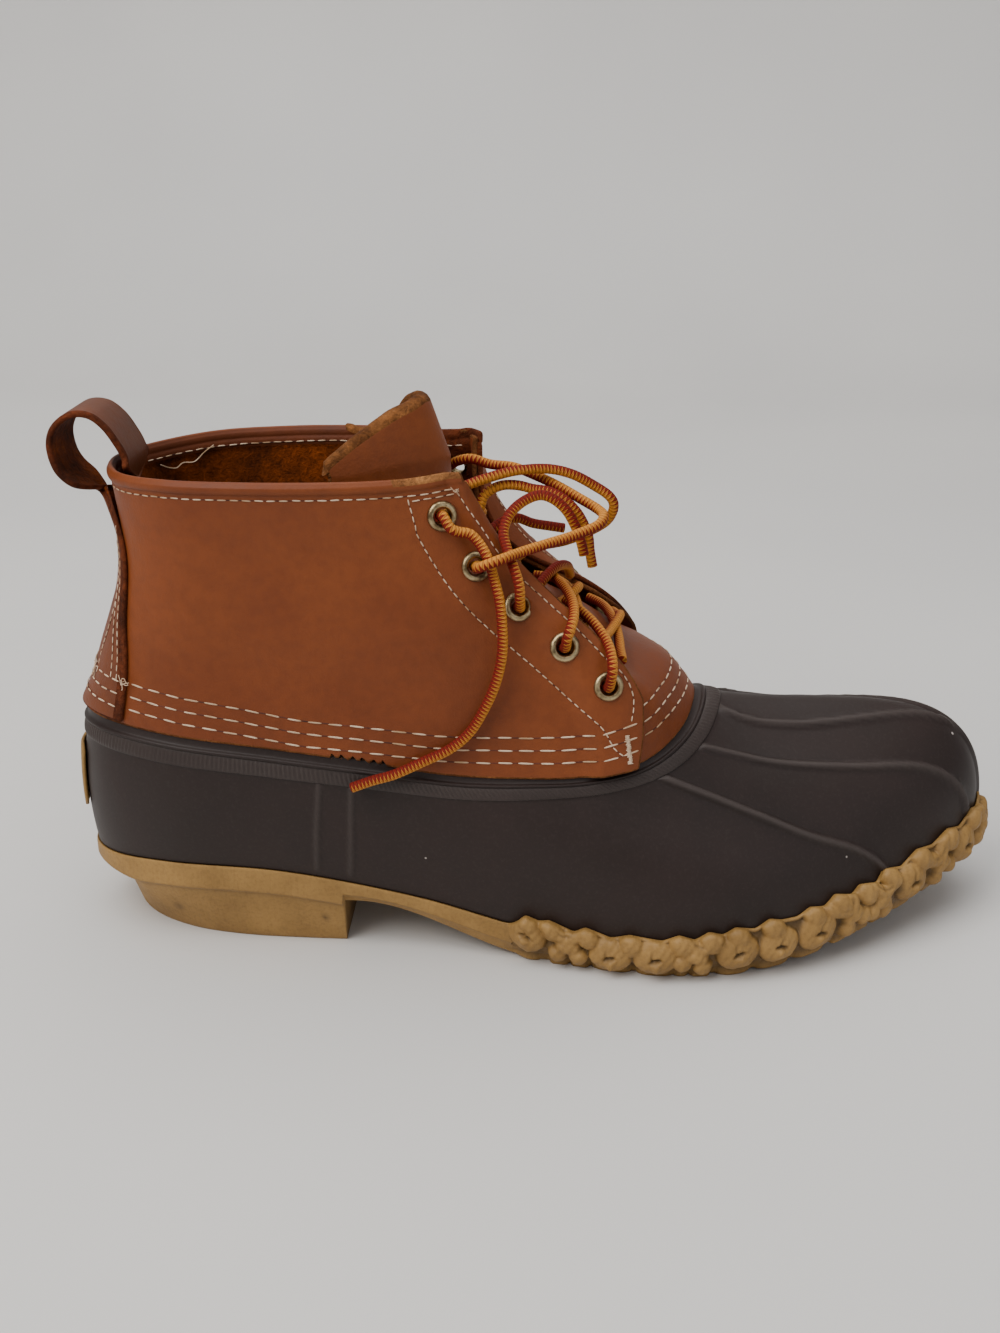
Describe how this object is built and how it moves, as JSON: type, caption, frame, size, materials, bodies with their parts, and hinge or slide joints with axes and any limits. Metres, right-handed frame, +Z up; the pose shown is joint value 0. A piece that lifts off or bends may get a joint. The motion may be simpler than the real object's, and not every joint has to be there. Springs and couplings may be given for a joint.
{
  "type": "duck boot",
  "caption": "Ankle-high duck boot for the right foot: rubber lower with heel, leather quarters and tongue, laced through eyelets, with a pull loop at the back.",
  "frame": {"origin": "on the floor under the heel, at the middle of the heel block's flat bottom", "axes": "+X runs forward to the toe, +Y to the medial side of the foot, +Z up from the floor"},
  "size_m": [0.3148, 0.1114, 0.1786],
  "materials": {
    "sole_rubber": "matte tan gum rubber",
    "dark_rubber": "satin dark brown rubber",
    "tan_leather": "smooth waxed full-grain leather",
    "brown_leather": "brown leather strap, suede behind",
    "insole_felt": "felted insole",
    "eyelet_brass": "antique",
    "lace_cord": "braided two-colour lace"
  },
  "bodies": {
    "root": {"outsole": "sole_rubber", "rubber_shell": "dark_rubber", "leather_upper": "tan_leather", "vamp_tongue": "tan_leather", "pull_loop": "brown_leather", "heel_tab": "sole_rubber", "insole": "insole_felt", "eyelet_lateral_1": "eyelet_brass", "eyelet_lateral_2": "eyelet_brass", "eyelet_lateral_3": "eyelet_brass", "eyelet_lateral_4": "eyelet_brass", "eyelet_lateral_5": "eyelet_brass", "eyelet_medial_1": "eyelet_brass", "eyelet_medial_2": "eyelet_brass", "eyelet_medial_3": "eyelet_brass", "eyelet_medial_4": "eyelet_brass", "eyelet_medial_5": "eyelet_brass", "lace_cross_1": "lace_cord", "lace_cross_2": "lace_cord", "lace_cross_3": "lace_cord", "lace_cross_4": "lace_cord", "lace_end_long": "lace_cord", "lace_loop_outer": "lace_cord", "lace_loop_inner": "lace_cord", "lace_end_gold": "lace_cord", "lace_end_red": "lace_cord"}
  },
  "joints": []
}
